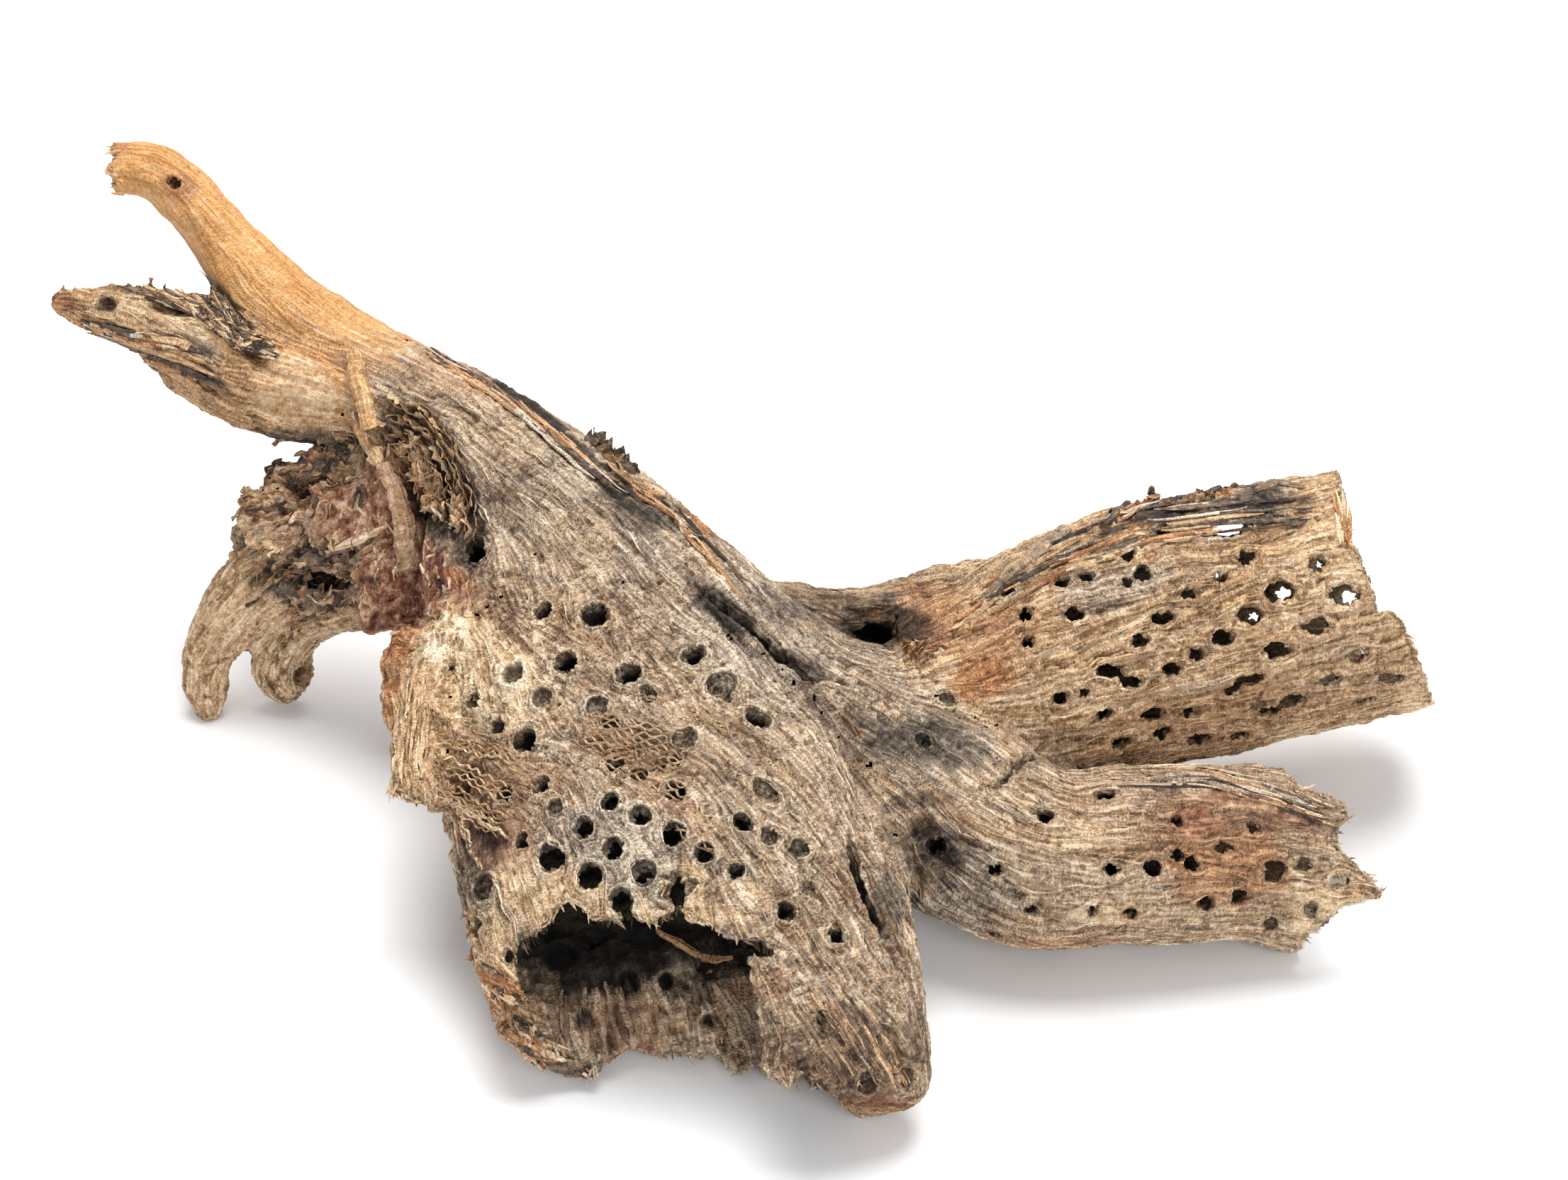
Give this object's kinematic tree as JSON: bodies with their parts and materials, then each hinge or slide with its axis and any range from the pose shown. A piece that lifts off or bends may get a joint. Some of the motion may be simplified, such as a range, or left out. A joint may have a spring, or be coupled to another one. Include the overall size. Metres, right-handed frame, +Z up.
{
  "type": "cholla cactus skeleton",
  "caption": "Dead cholla wood: a branching hollow lattice skeleton with oval holes, broken prongs, root stubs and a wide open front limb, lying on a table.",
  "frame": {"origin": "middle of the footprint, on the surface that the piece lies on", "axes": "+X to the right along the longest extent, from the raised prongs to the two hollow limbs; +Y away from the wide open limb; +Z up"},
  "size_m": [0.502, 0.3372, 0.1916],
  "materials": {
    "weathered_wood": "dry weathered cactus wood: tan and grey wavy fibres, dark sunken holes, rusty and purple bark in places"
  },
  "bodies": {
    "root": {"cholla_skeleton": "weathered_wood"}
  },
  "joints": []
}
